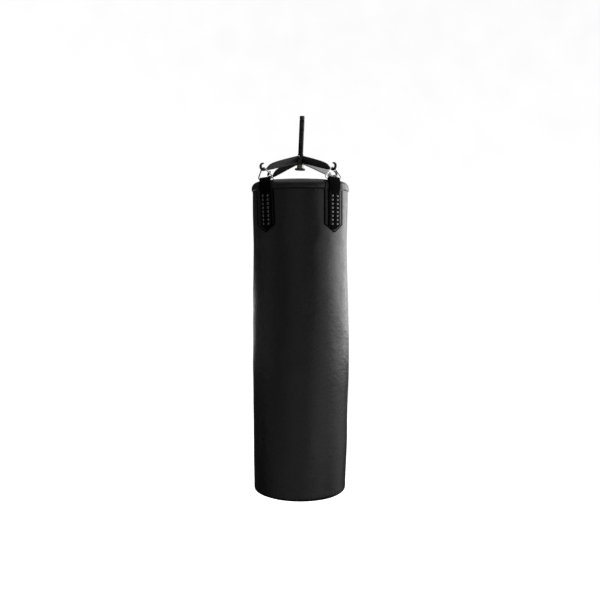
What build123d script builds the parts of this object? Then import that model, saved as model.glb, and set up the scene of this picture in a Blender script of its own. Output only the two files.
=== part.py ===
"""A leather heavy bag that hangs from a rod through a four-arm steel spreader.

Millimetres, +Z up, -Y is the front. The model is laid out with the bag's axis on Z and the top of the
bag at z = 0. Every node is then shifted so that the origin is the centre of the rod's cross hole.
"""
from math import atan2, cos, degrees, radians, sin, sqrt
import os

from build123d import *

os.makedirs("parts", exist_ok=True)

# ---- driving dimensions -------------------------------------------------------------------------
BAG_HEIGHT = 1170.0
BAG_RADIUS = 180.0          # straight down to here, then a settled waist and belly
STRAIGHT_END = -210.0
WAIST_RADIUS = 177.5
WAIST_HEIGHT = -360.0
BELLY_RADIUS = 182.0
BELLY_HEIGHT = -660.0
THIGH_RADIUS = 178.0
THIGH_HEIGHT = -990.0
FOOT_RADIUS = 174.5
LEATHER = 2.5
BASE_CORNER = 12.0
WELT_RADIUS = 2.1
WELT_GAP = 0.2

HEM_ROLL = 24.0             # radius of the padded roll round the top edge
HEM_CENTRE_RADIUS = 160.0
HEM_DEPTH = 35.0
HEM_INNER_RADIUS = 156.0
RIM_WIRE_RADIUS = 4.0
RIM_WIRE_PLACE = (168.0, -18.0)

LID_TOP = -11.0
LID_THICKNESS = 3.0
ZIP_RADIUS = 128.0
ZIP_START = 150.0           # degrees round the bag, anticlockwise from +X
ZIP_SWEEP = 240.0
ZIP_TAPE_WIDTH = 30.0
ZIP_CHAIN_WIDTH = 6.0
ZIP_TAPE_THICKNESS = 0.8
ZIP_CHAIN_THICKNESS = 1.8
SLIDER_LENGTH = 16.0
SLIDER_WIDTH = 11.0
SLIDER_GAP = 0.3
SLIDER_BODY_HEIGHT = 3.0
SLIDER_CORNER = 2.5
SLIDER_CLOSED_MARGIN = 2.0  # degrees left between the slider and the zip's end
LUG_SIZE = (2.0, 6.0, 4.5)
LUG_OFFSET = 4.2
LUG_SINK = 0.5
PULLER_LENGTH = 34.0
PULLER_NECK_LENGTH = 10.0
PULLER_NECK_WIDTH = 5.6
PULLER_TAB_WIDTH = 11.0
PULLER_TAB_CORNER = 3.0
PULLER_THICKNESS = 2.0
PULLER_PLAY = 0.08
PULLER_PIN_RADIUS = 1.0
PULLER_PIN_RISE = 2.0       # above the slider's top
PULLER_EYE_RADIUS = 1.7

FOAM_GAP = 2.3              # room for the rivets' tails behind the leather
FOAM_INNER_RADIUS = 155.0
FILLING_RADIUS = 154.6

CORNERS = {"front_right": -45.0, "back_right": 45.0, "back_left": 135.0, "front_left": 225.0}

# The straps were not riveted on quite evenly: how far each ring's bar is pulled across from its
# hook, anticlockwise seen from above, and how much further the strap's tip lies.
RING_SHIFT = {"front_right": 2.0, "back_right": 0.0, "back_left": 0.0, "front_left": 15.0}
STRAP_SLANT = {"front_right": 0.0, "back_right": 0.0, "back_left": 0.0, "front_left": 8.0}

PATCH_WIDTH = 88.0
PATCH_TOP_ANGLE = 48.0      # up the hem roll, degrees above level
PATCH_SHOULDER = -161.0
PATCH_TIP = -189.0
STRAP_WIDTH = 54.0
STRAP_THICKNESS = 4.4       # two plies of the folded strap
STRAP_SHOULDER = -166.0
STRAP_TIP = -182.0
LOOP_WALL = 2.8

RIVET_ROWS = 8
RIVET_FIRST_ROW = -60.0
RIVET_ROW_STEP = 14.4
RIVET_COLUMN_OFFSET = 12.5
RIVET_HEAD_RADIUS = 5.0
RIVET_HEAD_HEIGHT = 2.4
RIVET_SHANK_RADIUS = 2.0
RIVET_TAIL_RADIUS = 4.5
RIVET_TAIL_HEIGHT = 1.4
RIVET_TAIL_GAP = 0.1

RING_WIRE_RADIUS = 2.4
RING_BASE_HEIGHT = 3.4      # centre of the bar in the strap loop
RING_BASE_WIDTH = 90.0
RING_TOP_WIDTH = 14.0
RING_BASE_CORNER = 5.0
RING_TOP_CORNER = 4.2
RING_BAR_GAP = 0.6          # between the bar and the strap loop
RING_SEAT_GAP = 0.2         # between the ring and its hook

HOOK_RADIUS = 11.3          # centre line of the hook's C
HOOK_BAR_RADIUS = 3.75
HOOK_CENTRE = (179.0, 47.2)
HOOK_TIP_ANGLE = 108.0
HOOK_START_ANGLE = 243.0
NECK_ROOT = (154.0, 43.6)   # where the round neck leaves the plate
ARM_THICKNESS = 8.0
ARM_OUTLINE = (             # radius and height, out along the top edge and back along the bottom
    (0, 105.0),
    (62, 88.0),
    (110, 73.7),
    (142, 61.4),
    (156, 52.0),
    (164, 41.8),
    (158.5, 34.6),
    (142, 39.2),
    (110, 47.3),
    (62, 60.2),
    (25, 68.8),
    (0, 75.0),
)

PIVOT_HEIGHT = 74.5         # centre of the self-aligning seat
ROD_LEAN = 2.46             # degrees, top of the rod towards +X
ROD_RADIUS = 9.5
ROD_TOP = 250.3
ROD_CHAMFER = 1.0
CROSS_HOLE_RADIUS = 4.25
CROSS_HOLE_BELOW_TOP = 12.0
SHANK_RADIUS = 5.0
FLARE_RADIUS = 11.0
FLARE_RIM = 1.2
FLARE_NECK = (9.9, 2.6)     # radius, and height above the rim
FLARE_TOP = 113.5
FLARE_FLOOR = 94.5

FLANGE_RADIUS = 19.5
FLANGE_BOTTOM = 48.0
FLANGE_TOP = 54.5
FLANGE_CHAMFER = 0.8
FLANGE_PIN_RADIUS = 1.25
FLANGE_PIN_LENGTH = 30.0
FLANGE_PIN_HEIGHT = 49.8

DISH_RADIUS = 23.5          # spherical seats, all centred on the pivot
LINER_THICKNESS = 1.5
SEAT_PLAY = 0.02
LINER_OUTER_RADIUS = 12.2
BEARING_RADIUS = 13.0
BEARING_BORE = 7.5
LOWER_RACE_TOP = 60.2
BALL_HEIGHT = 61.3
BALL_RADIUS = 2.0
BALL_PLAY = 0.04
BALL_COUNT = 12
BALL_CIRCLE = 10.25
CAGE_HALF_THICKNESS = 0.6
CAGE_MARGIN = 0.5
UPPER_RACE_BOTTOM = 62.4
UPPER_RACE_TOP = 66.6

HUB_RADIUS = 12.75
HUB_BORE = 9.5
HUB_TOP_AT_EDGE = 103.2
HUB_DOME_GAP = 0.3

# ---- worked out from the driving dimensions -----------------------------------------------------
SLIDER_BOTTOM = LID_TOP + ZIP_TAPE_THICKNESS + SLIDER_GAP
PULLER_PIN_HEIGHT = SLIDER_BOTTOM + ZIP_CHAIN_THICKNESS + SLIDER_BODY_HEIGHT + PULLER_PIN_RISE
SLIDER_MARGIN = degrees(SLIDER_LENGTH / 2 / ZIP_RADIUS) + SLIDER_CLOSED_MARGIN
PIVOT = Vector(0, 0, PIVOT_HEIGHT)
HUB_DOME_RADIUS = sqrt(HUB_RADIUS**2 + (HUB_TOP_AT_EDGE - PIVOT_HEIGHT) ** 2)
FLARE_DISH_RADIUS = HUB_DOME_RADIUS + HUB_DOME_GAP
CROSS_HOLE_HEIGHT = ROD_TOP - CROSS_HOLE_BELOW_TOP
LEAN = Axis(PIVOT, (0, 1, 0))
RISE_TO_HOLE = CROSS_HOLE_HEIGHT - PIVOT_HEIGHT
ORIGIN = Vector(
    RISE_TO_HOLE * sin(radians(ROD_LEAN)), 0, PIVOT_HEIGHT + RISE_TO_HOLE * cos(radians(ROD_LEAN))
)
RING_TOP_HEIGHT = HOOK_CENTRE[1] - HOOK_RADIUS + HOOK_BAR_RADIUS + RING_WIRE_RADIUS + RING_SEAT_GAP
RING_RADIUS = HOOK_CENTRE[0]
WALL_BOTTOM = -BAG_HEIGHT + LEATHER
PATCH_OUTER_RADIUS = BAG_RADIUS + LEATHER
STRAP_OUTER_RADIUS = PATCH_OUTER_RADIUS + STRAP_THICKNESS
CREASE_ANGLE = -22.0        # where the hem roll meets its seam, degrees below level
BAR_ANGLE = degrees(atan2(RING_BASE_HEIGHT + HEM_ROLL, RING_RADIUS - HEM_CENTRE_RADIUS))


def export(shape, node):
    """Write one node, shifted so that the cross hole's centre is the origin."""
    export_step(Location(-ORIGIN) * shape, f"parts/{node}.step")


def turned(*edges):
    """Solid of revolution about Z from edges drawn as (radius, height)."""
    return revolve(Plane.XZ * make_face(edges), Axis.Z)


def turned_outline(points):
    return turned(Polyline(*points, close=True))


def at_corner(angle, shape):
    """Turn a shape that was built on the +X side to a corner of the bag."""
    return Rotation(0, 0, angle) * shape


def hem_point(distance, angle):
    """Point at a distance from the centre of the hem roll, as (radius, height)."""
    return (
        HEM_CENTRE_RADIUS + distance * cos(radians(angle)),
        -HEM_ROLL + distance * sin(radians(angle)),
    )


def hem_arc(distance, start, end):
    return CenterArc((HEM_CENTRE_RADIUS, -HEM_ROLL), distance, start, end - start)


# ---- bag ----------------------------------------------------------------------------------------
def wall_curve(inset):
    """Side of the bag from the hem's seam to the base corner, moved inwards by inset."""
    shape = (
        (BAG_RADIUS, STRAIGHT_END),
        (WAIST_RADIUS, WAIST_HEIGHT),
        (BELLY_RADIUS, BELLY_HEIGHT),
        (THIGH_RADIUS, THIGH_HEIGHT),
        (FOOT_RADIUS, WALL_BOTTOM + BASE_CORNER),
    )
    return Spline(*[(radius - inset, height) for radius, height in shape], tangents=((0, -1), (0, -1)))


def wall_solid(inset, top, inner_radius):
    """Solid between the bag's side, moved inwards by inset, and a plain inner radius."""
    curve = wall_curve(inset)
    corner = BASE_CORNER - inset
    start = curve @ 0
    end = curve @ 1
    foot = (end.X - corner, end.Y - corner)
    return turned(
        Line((start.X, top), start),
        curve,
        CenterArc((end.X - corner, end.Y), corner, 0, -90),
        Polyline(foot, (inner_radius, foot[1]), (inner_radius, top), (start.X, top)),
    )


def strap_centre(corner, height):
    """How far a strap's centre line lies across from its hook at a height."""
    share = (RING_BASE_HEIGHT - height) / (RING_BASE_HEIGHT - STRAP_TIP)
    return RING_SHIFT[corner] + share * STRAP_SLANT[corner]


def rivet_places(corner):
    """Angle from the corner and height of each rivet of one strap."""
    heights = [RIVET_FIRST_ROW - row * RIVET_ROW_STEP for row in range(RIVET_ROWS)]
    return [
        (degrees((side * RIVET_COLUMN_OFFSET + strap_centre(corner, height)) / STRAP_OUTER_RADIUS), height)
        for side in (-1, 1)
        for height in heights
    ]


def rivet_holes(corner):
    """Drills for one strap's rivets, through strap, patch and leather."""
    drill_length = STRAP_OUTER_RADIUS - BAG_RADIUS + 4 * LEATHER
    drill_middle = (STRAP_OUTER_RADIUS + BAG_RADIUS) / 2
    drill = Rotation(0, 90, 0) * Cylinder(RIVET_SHANK_RADIUS, drill_length)
    return [
        Rotation(0, 0, CORNERS[corner] + swing) * (Location((drill_middle, 0, height)) * drill)
        for swing, height in rivet_places(corner)
    ]


def make_bag_shell():
    inner_foot = FOOT_RADIUS - BASE_CORNER
    outside = wall_solid(0, -HEM_DEPTH, FILLING_RADIUS)
    inside = wall_solid(LEATHER, -HEM_DEPTH + 1, FILLING_RADIUS - 1)
    core = Location((0, 0, -BAG_HEIGHT / 2)) * Cylinder(inner_foot, 1.1 * BAG_HEIGHT)
    shell = outside - inside - core
    holes = [hole for corner in CORNERS for hole in rivet_holes(corner)]
    return shell - holes


def make_top_hem():
    seam = hem_point(HEM_ROLL, CREASE_ANGLE)
    bevel = HEM_CENTRE_RADIUS - HEM_INNER_RADIUS
    edges = [
        hem_arc(HEM_ROLL, 90, CREASE_ANGLE),
        Polyline(
            seam,
            (BAG_RADIUS, -HEM_DEPTH),
            (HEM_INNER_RADIUS + bevel, -HEM_DEPTH),
            (HEM_INNER_RADIUS, -HEM_DEPTH + bevel),
            (HEM_INNER_RADIUS, -bevel),
            (HEM_CENTRE_RADIUS, 0),
        ),
    ]
    return turned(*edges) - make_rim_wire()


def make_rim_wire():
    radius, height = RIM_WIRE_PLACE
    return Location((0, 0, height)) * Torus(radius, RIM_WIRE_RADIUS)


def make_foam_liner():
    return wall_solid(LEATHER + FOAM_GAP, -HEM_DEPTH - 0.5, FOAM_INNER_RADIUS)


def make_filling():
    top = LID_TOP - LID_THICKNESS - 1
    bottom = WALL_BOTTOM + 1
    return Location((0, 0, (top + bottom) / 2)) * Cylinder(FILLING_RADIUS, top - bottom)


def make_lid_panel():
    middle = LID_TOP - LID_THICKNESS / 2
    return Location((0, 0, middle)) * Cylinder(HEM_INNER_RADIUS, LID_THICKNESS)


def make_base_panel():
    radius = FOOT_RADIUS - BASE_CORNER - 2 * WELT_RADIUS - WELT_GAP
    middle = -BAG_HEIGHT + LEATHER / 2
    return Location((0, 0, middle)) * Cylinder(radius, LEATHER)


def make_base_welt():
    radius = FOOT_RADIUS - BASE_CORNER - WELT_RADIUS - WELT_GAP / 2
    return Location((0, 0, -BAG_HEIGHT + WELT_RADIUS + WELT_GAP)) * Torus(radius, WELT_RADIUS)


# ---- zip ----------------------------------------------------------------------------------------
def zip_band(width, thickness, bottom, start, sweep):
    """Flat band that follows the zip's circle."""
    inner = ZIP_RADIUS - width / 2
    outer = ZIP_RADIUS + width / 2
    top = bottom + thickness
    profile = Polyline((inner, bottom), (outer, bottom), (outer, top), (inner, top), close=True)
    face = Rotation(0, 0, start) * (Plane.XZ * make_face(profile))
    return revolve(face, Axis.Z, sweep)


def make_zip_tape():
    return zip_band(ZIP_TAPE_WIDTH, ZIP_TAPE_THICKNESS, LID_TOP, ZIP_START, ZIP_SWEEP)


def make_zip_chain():
    bottom = LID_TOP + ZIP_TAPE_THICKNESS
    return zip_band(ZIP_CHAIN_WIDTH, ZIP_CHAIN_THICKNESS, bottom, ZIP_START, ZIP_SWEEP)


def slider_place(shape):
    """Carry a shape built at the +X side of the zip to the closed end of the zip."""
    return Rotation(0, 0, ZIP_START + SLIDER_MARGIN) * shape


def standing_box(width, length, height):
    return Box(width, length, height, align=(Align.CENTER, Align.CENTER, Align.MIN))


def make_zip_slider():
    """Slider that straddles the chain, with a bridge for the puller's pin."""
    height = ZIP_CHAIN_THICKNESS + SLIDER_BODY_HEIGHT
    block = standing_box(SLIDER_WIDTH, SLIDER_LENGTH, height)
    block = fillet(block.edges().filter_by(Axis.Z), SLIDER_CORNER)
    block = Location((ZIP_RADIUS, 0, SLIDER_BOTTOM)) * block
    groove_width = ZIP_CHAIN_WIDTH + 2 * SLIDER_GAP
    groove_depth = ZIP_TAPE_THICKNESS + ZIP_CHAIN_THICKNESS + SLIDER_GAP
    groove_half_sweep = degrees(SLIDER_LENGTH / ZIP_RADIUS)
    groove = zip_band(groove_width, groove_depth, LID_TOP, -groove_half_sweep, 2 * groove_half_sweep)
    lug = standing_box(*LUG_SIZE)
    lug_bottom = SLIDER_BOTTOM + height - LUG_SINK
    lugs = [Location((ZIP_RADIUS + side * LUG_OFFSET, 0, lug_bottom)) * lug for side in (-1, 1)]
    pin = Rotation(0, 90, 0) * Cylinder(PULLER_PIN_RADIUS, 2 * LUG_OFFSET)
    return block - groove + lugs + Location((ZIP_RADIUS, 0, PULLER_PIN_HEIGHT)) * pin


def make_zip_puller():
    """Flat tab with an eye round the slider's pin."""
    lying = (Align.CENTER, Align.MAX, Align.CENTER)
    eye = Rotation(0, 90, 0) * Cylinder(PULLER_EYE_RADIUS, PULLER_NECK_WIDTH)
    neck = Box(PULLER_NECK_WIDTH, PULLER_LENGTH, PULLER_THICKNESS, align=lying)
    tab = Box(PULLER_TAB_WIDTH, PULLER_LENGTH - PULLER_NECK_LENGTH, PULLER_THICKNESS, align=lying)
    tab = fillet(tab.edges().filter_by(Axis.Z), PULLER_TAB_CORNER)
    bore = Rotation(0, 90, 0) * Cylinder(PULLER_PIN_RADIUS + PULLER_PLAY, 2 * PULLER_NECK_WIDTH)
    puller = eye + neck + Location((0, -PULLER_NECK_LENGTH, 0)) * tab - bore
    return Location((ZIP_RADIUS, 0, PULLER_PIN_HEIGHT)) * puller


# ---- patches, straps and rivets -----------------------------------------------------------------
def pointed_prism(corner, width, shoulder, tip, top):
    """Prism along +X whose outline is a strip that follows a strap's centre line to a point."""
    half = width / 2
    sides = ((-half, top), (half, top), (half, shoulder), (0, tip), (-half, shoulder))
    points = [(across + strap_centre(corner, height), height) for across, height in sides]
    outline = Polyline(*points, close=True)
    return extrude(Plane.YZ * make_face(outline), STRAP_OUTER_RADIUS + HEM_ROLL)


def skin_band(start, thickness, top_angle, bottom):
    """Leather that hugs the hem roll and the wall, from start to start + thickness above them."""
    inner_seam = hem_point(HEM_ROLL + start, CREASE_ANGLE)
    outer_seam = hem_point(HEM_ROLL + start + thickness, CREASE_ANGLE)
    inner = BAG_RADIUS + start
    outer = inner + thickness
    crease = -HEM_DEPTH - start / 2
    edges = [
        hem_arc(HEM_ROLL + start, top_angle, CREASE_ANGLE),
        Polyline(inner_seam, (inner, crease), (inner, bottom), (outer, bottom),
                 (outer, crease - thickness / 2), outer_seam),
        hem_arc(HEM_ROLL + start + thickness, CREASE_ANGLE, top_angle),
        Line(hem_point(HEM_ROLL + start + thickness, top_angle), hem_point(HEM_ROLL + start, top_angle)),
    ]
    return turned(*edges)


def make_patch(corner):
    band = skin_band(0, LEATHER, PATCH_TOP_ANGLE, PATCH_TIP - 1)
    return band & pointed_prism(corner, PATCH_WIDTH, PATCH_SHOULDER, PATCH_TIP, HEM_ROLL)


def make_strap(corner):
    """Two plies that fold round the ring's bar and lie on the patch."""
    band = skin_band(LEATHER, STRAP_THICKNESS, BAR_ANGLE, STRAP_TIP - 1)
    strip = band & pointed_prism(corner, STRAP_WIDTH, STRAP_SHOULDER, STRAP_TIP, HEM_ROLL)
    along_bar = Rotation(90, 0, 0)
    bar_place = Location((RING_RADIUS, RING_SHIFT[corner], RING_BASE_HEIGHT))
    hole_radius = RING_WIRE_RADIUS + RING_BAR_GAP
    loop = bar_place * along_bar * Cylinder(hole_radius + LOOP_WALL, STRAP_WIDTH)
    hole = bar_place * along_bar * Cylinder(hole_radius, STRAP_WIDTH + 2)
    return strip + loop - hole


def make_rivet():
    """Domed head outside, shank through the leather and a flat tail inside, along +X."""
    head_place = STRAP_OUTER_RADIUS
    tail_place = BAG_RADIUS - LEATHER - RIVET_TAIL_GAP
    dome = (RIVET_HEAD_RADIUS**2 + RIVET_HEAD_HEIGHT**2) / (2 * RIVET_HEAD_HEIGHT)
    cap = Sphere(dome) & Location((0, 0, dome)) * Cylinder(dome, 2 * RIVET_HEAD_HEIGHT)
    head = Location((0, 0, head_place - dome + RIVET_HEAD_HEIGHT)) * cap
    shank_length = head_place - tail_place
    shank = Location((0, 0, tail_place + shank_length / 2)) * Cylinder(RIVET_SHANK_RADIUS, shank_length)
    tail_middle = tail_place - RIVET_TAIL_HEIGHT / 2
    tail = Location((0, 0, tail_middle)) * Cylinder(RIVET_TAIL_RADIUS, RIVET_TAIL_HEIGHT)
    return Rotation(0, 90, 0) * (head + shank + tail)


def make_rivets(corner):
    rivet = make_rivet()
    return Compound(
        [
            Rotation(0, 0, CORNERS[corner] + swing) * (Location((0, 0, height)) * rivet)
            for swing, height in rivet_places(corner)
        ]
    )


# ---- rings and spreader -------------------------------------------------------------------------
def make_ring(corner):
    """Wire bent to a trapezoid, with its top in the hook and its base bar in the strap loop."""
    half_base = RING_BASE_WIDTH / 2
    half_top = RING_TOP_WIDTH / 2
    shift = RING_SHIFT[corner]
    corners = [
        (shift - half_base, RING_BASE_HEIGHT),
        (shift + half_base, RING_BASE_HEIGHT),
        (half_top, RING_TOP_HEIGHT),
        (-half_top, RING_TOP_HEIGHT),
    ]
    radii = [RING_BASE_CORNER, RING_BASE_CORNER, RING_TOP_CORNER, RING_TOP_CORNER]
    path = FilletPolyline(*corners, radius=radii, close=True)
    plane = Plane(origin=(RING_RADIUS, 0, 0), x_dir=(0, 1, 0), z_dir=(1, 0, 0))
    path = plane * path
    start = path @ 0
    section = Plane(origin=start, z_dir=path % 0) * Circle(RING_WIRE_RADIUS)
    return sweep(section, path=path)


def hook_point(angle):
    return (
        HOOK_CENTRE[0] + HOOK_RADIUS * cos(radians(angle)),
        HOOK_CENTRE[1] + HOOK_RADIUS * sin(radians(angle)),
    )


def bar_along(path):
    """Round hook bar along a path."""
    return sweep(Plane(origin=path @ 0, z_dir=path % 0) * Circle(HOOK_BAR_RADIUS), path=path)


def make_arm():
    """Vertical plate from the hub that narrows into a round C-shaped hook."""
    outline = Polyline(*ARM_OUTLINE, close=True)
    plate = extrude(Plane.XZ * make_face(outline), ARM_THICKNESS / 2, both=True)
    plate = plate - Location(PIVOT) * Cylinder(HUB_RADIUS, 8 * HUB_RADIUS)
    sweep_angle = 360 + HOOK_TIP_ANGLE - HOOK_START_ANGLE
    neck = Plane.XZ * Line(NECK_ROOT, hook_point(HOOK_START_ANGLE))
    bend = Plane.XZ * CenterArc(HOOK_CENTRE, HOOK_RADIUS, HOOK_START_ANGLE, sweep_angle)
    elbow = Location(bend @ 0) * Sphere(HOOK_BAR_RADIUS)
    tip = Location(bend @ 1) * Sphere(HOOK_BAR_RADIUS)
    return plate + bar_along(neck) + bar_along(bend) + elbow + tip


def make_hub_tube():
    tube = Location((0, 0, UPPER_RACE_TOP)) * Cylinder(
        HUB_RADIUS, HUB_DOME_RADIUS, align=(Align.CENTER, Align.CENTER, Align.MIN)
    )
    dome = Location(PIVOT) * Sphere(HUB_DOME_RADIUS)
    bore = Location(PIVOT) * Cylinder(HUB_BORE, 4 * HUB_DOME_RADIUS)
    return (tube & dome) - bore


# ---- swivel -------------------------------------------------------------------------------------
def make_upper_race():
    race = turned_outline([
        (BEARING_BORE, UPPER_RACE_BOTTOM),
        (BEARING_RADIUS, UPPER_RACE_BOTTOM),
        (BEARING_RADIUS, UPPER_RACE_TOP),
        (BEARING_BORE, UPPER_RACE_TOP),
    ])
    return race - make_ball_track()


def make_ball_track():
    return Location((0, 0, BALL_HEIGHT)) * Torus(BALL_CIRCLE, BALL_RADIUS + BALL_PLAY)


def make_lower_race():
    """Race with a convex spherical underside."""
    blank = turned_outline([
        (BEARING_BORE, FLANGE_BOTTOM),
        (BEARING_RADIUS, FLANGE_BOTTOM),
        (BEARING_RADIUS, LOWER_RACE_TOP),
        (BEARING_BORE, LOWER_RACE_TOP),
    ])
    underside = Location(PIVOT) * Sphere(DISH_RADIUS - LINER_THICKNESS - SEAT_PLAY)
    return (blank & underside) - make_ball_track()


def make_seat_liner():
    """Thin spherical washer between the flange's dish and the lower race."""
    shell = Location(PIVOT) * (Sphere(DISH_RADIUS - SEAT_PLAY) - Sphere(DISH_RADIUS - LINER_THICKNESS))
    washer = turned_outline([
        (BEARING_BORE, FLANGE_BOTTOM),
        (LINER_OUTER_RADIUS, FLANGE_BOTTOM),
        (LINER_OUTER_RADIUS, LOWER_RACE_TOP),
        (BEARING_BORE, LOWER_RACE_TOP),
    ])
    return shell & washer


def ball_places():
    return [
        Rotation(0, 0, 360 * i / BALL_COUNT) * Location((BALL_CIRCLE, 0, BALL_HEIGHT))
        for i in range(BALL_COUNT)
    ]


def make_balls():
    return Compound([place * Sphere(BALL_RADIUS) for place in ball_places()])


def make_cage():
    ring = turned_outline([
        (BEARING_BORE + CAGE_MARGIN, BALL_HEIGHT - CAGE_HALF_THICKNESS),
        (BEARING_RADIUS - CAGE_MARGIN, BALL_HEIGHT - CAGE_HALF_THICKNESS),
        (BEARING_RADIUS - CAGE_MARGIN, BALL_HEIGHT + CAGE_HALF_THICKNESS),
        (BEARING_BORE + CAGE_MARGIN, BALL_HEIGHT + CAGE_HALF_THICKNESS),
    ])
    pocket = Cylinder(BALL_RADIUS + BALL_PLAY, 4 * BALL_RADIUS)
    return ring - [place * pocket for place in ball_places()]


# ---- rod ----------------------------------------------------------------------------------------
def leaning(shape):
    """Lean a piece of the rod about the seat's centre."""
    return shape.rotate(LEAN, ROD_LEAN)


def flange_pin():
    pin = Rotation(90, 0, 0) * Cylinder(FLANGE_PIN_RADIUS, FLANGE_PIN_LENGTH)
    return Location((0, 0, FLANGE_PIN_HEIGHT)) * pin


def make_rod():
    """Rod with a flared foot over the hub, and a thinner shank through the bearing into the flange."""
    rim = PIVOT_HEIGHT + sqrt(FLARE_DISH_RADIUS**2 - FLARE_RADIUS**2) + FLARE_RIM
    neck_radius, neck_rise = FLARE_NECK
    rod = turned(
        Polyline(
            (0, FLANGE_BOTTOM),
            (SHANK_RADIUS, FLANGE_BOTTOM),
            (SHANK_RADIUS, FLARE_FLOOR),
            (FLARE_RADIUS, FLARE_FLOOR),
            (FLARE_RADIUS, rim),
        ),
        ThreePointArc((FLARE_RADIUS, rim), (neck_radius, rim + neck_rise), (ROD_RADIUS, FLARE_TOP)),
        Polyline(
            (ROD_RADIUS, FLARE_TOP),
            (ROD_RADIUS, ROD_TOP - ROD_CHAMFER),
            (ROD_RADIUS - ROD_CHAMFER, ROD_TOP),
            (0, ROD_TOP),
            (0, FLANGE_BOTTOM),
        ),
    )
    hollow = turned_outline([
        (SHANK_RADIUS, PIVOT_HEIGHT),
        (2 * FLARE_RADIUS, PIVOT_HEIGHT),
        (2 * FLARE_RADIUS, FLARE_TOP),
        (SHANK_RADIUS, FLARE_TOP),
    ]) & Location(PIVOT) * Sphere(FLARE_DISH_RADIUS)
    drill = Rotation(0, 90, 0) * Cylinder(CROSS_HOLE_RADIUS, 4 * ROD_RADIUS)
    return rod - hollow - Location((0, 0, CROSS_HOLE_HEIGHT)) * drill - flange_pin()


def make_end_flange():
    blank = turned_outline([
        (SHANK_RADIUS, FLANGE_BOTTOM),
        (FLANGE_RADIUS - FLANGE_CHAMFER, FLANGE_BOTTOM),
        (FLANGE_RADIUS, FLANGE_BOTTOM + FLANGE_CHAMFER),
        (FLANGE_RADIUS, FLANGE_TOP - FLANGE_CHAMFER),
        (FLANGE_RADIUS - FLANGE_CHAMFER, FLANGE_TOP),
        (SHANK_RADIUS, FLANGE_TOP),
    ])
    return blank - Location(PIVOT) * Sphere(DISH_RADIUS) - flange_pin()


def build():
    export(leaning(make_rod()), "hanging_rod")
    export(leaning(make_end_flange()), "end_flange")
    export(leaning(flange_pin()), "flange_pin")
    export(make_seat_liner(), "seat_liner")
    export(make_lower_race(), "bearing_lower_race")
    export(make_cage(), "bearing_cage")
    export(make_balls(), "bearing_balls")
    export(make_upper_race(), "bearing_upper_race")
    export(make_hub_tube(), "hub_tube")

    arm = make_arm()
    for corner, angle in CORNERS.items():
        holes = rivet_holes(corner)
        export(at_corner(angle, arm), f"arm_{corner}")
        export(at_corner(angle, make_ring(corner)), f"ring_{corner}")
        export(at_corner(angle, make_patch(corner)) - holes, f"patch_{corner}")
        export(at_corner(angle, make_strap(corner)) - holes, f"strap_{corner}")
        export(make_rivets(corner), f"rivets_{corner}")

    export(make_bag_shell(), "bag_shell")
    export(make_top_hem(), "top_hem")
    export(make_rim_wire(), "rim_wire")
    export(make_lid_panel(), "lid_panel")
    export(make_zip_tape(), "zip_tape")
    export(make_zip_chain(), "zip_chain")
    export(slider_place(make_zip_slider()), "zip_slider")
    export(slider_place(make_zip_puller()), "zip_puller")
    export(make_foam_liner(), "foam_liner")
    export(make_filling(), "filling")
    export(make_base_panel(), "base_panel")
    export(make_base_welt(), "base_welt")


build()
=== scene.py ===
"""Looks of a leather heavy bag that hangs from a rod through a four-arm steel spreader."""
import math
import random

import bmesh
import bpy
import numpy as np
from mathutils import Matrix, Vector, noise


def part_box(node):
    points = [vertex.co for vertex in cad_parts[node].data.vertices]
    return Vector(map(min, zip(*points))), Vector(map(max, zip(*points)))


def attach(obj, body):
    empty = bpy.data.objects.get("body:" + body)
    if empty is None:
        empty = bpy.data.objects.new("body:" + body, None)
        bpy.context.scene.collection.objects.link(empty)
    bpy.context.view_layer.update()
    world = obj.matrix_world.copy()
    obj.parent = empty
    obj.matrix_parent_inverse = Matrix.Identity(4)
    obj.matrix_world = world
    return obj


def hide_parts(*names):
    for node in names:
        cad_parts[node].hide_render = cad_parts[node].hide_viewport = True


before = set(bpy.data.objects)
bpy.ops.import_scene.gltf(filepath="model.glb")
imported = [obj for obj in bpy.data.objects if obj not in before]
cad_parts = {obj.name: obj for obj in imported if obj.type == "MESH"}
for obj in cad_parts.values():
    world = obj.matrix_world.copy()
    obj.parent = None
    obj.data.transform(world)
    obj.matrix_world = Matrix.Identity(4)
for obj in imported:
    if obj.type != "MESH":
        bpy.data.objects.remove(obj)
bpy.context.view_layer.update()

# ---- places and sizes, in millimetres from the bag's axis and its top ------------------------------
MM = 0.001
FILLING_LOW, FILLING_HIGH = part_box("filling")
HEM_LOW, HEM_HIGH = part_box("top_hem")
BASE_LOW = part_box("base_panel")[0]
AXIS_X = (FILLING_LOW.x + FILLING_HIGH.x) / 2
AXIS_Y = (FILLING_LOW.y + FILLING_HIGH.y) / 2
TOP_Z = HEM_HIGH.z


def width_of(node):
    low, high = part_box(node)
    return (high.x - low.x) / MM


def height_in_bag(z):
    return (z - TOP_Z) / MM


CORNERS = {"front_right": -45.0, "back_right": 45.0, "back_left": 135.0, "front_left": 225.0}
HEM_RADIUS = width_of("top_hem") / 2
HEM_DEPTH = -height_in_bag(HEM_LOW.z)
HEM_ROLL = 24.0
ROLL_CENTRE = HEM_RADIUS - HEM_ROLL
CREASE_ANGLE = -22.0
BAG_BOTTOM = height_in_bag(BASE_LOW.z)
LEATHER = 2.5
WALL_RADIUS = 180.0
BASE_CORNER = 12.0
WELT_RADIUS = 2.1
PUCKERS = 74                    # small waves round a sewn seam
SEAM_STITCH = 6.5
STRAP_STITCH = 5.5

PATCH_HALF_WIDTH = 44.0
PATCH_TOP_ANGLE = 48.0
PATCH_SHOULDER = -161.0
PATCH_TIP = height_in_bag(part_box("patch_front_right")[0].z)
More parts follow.
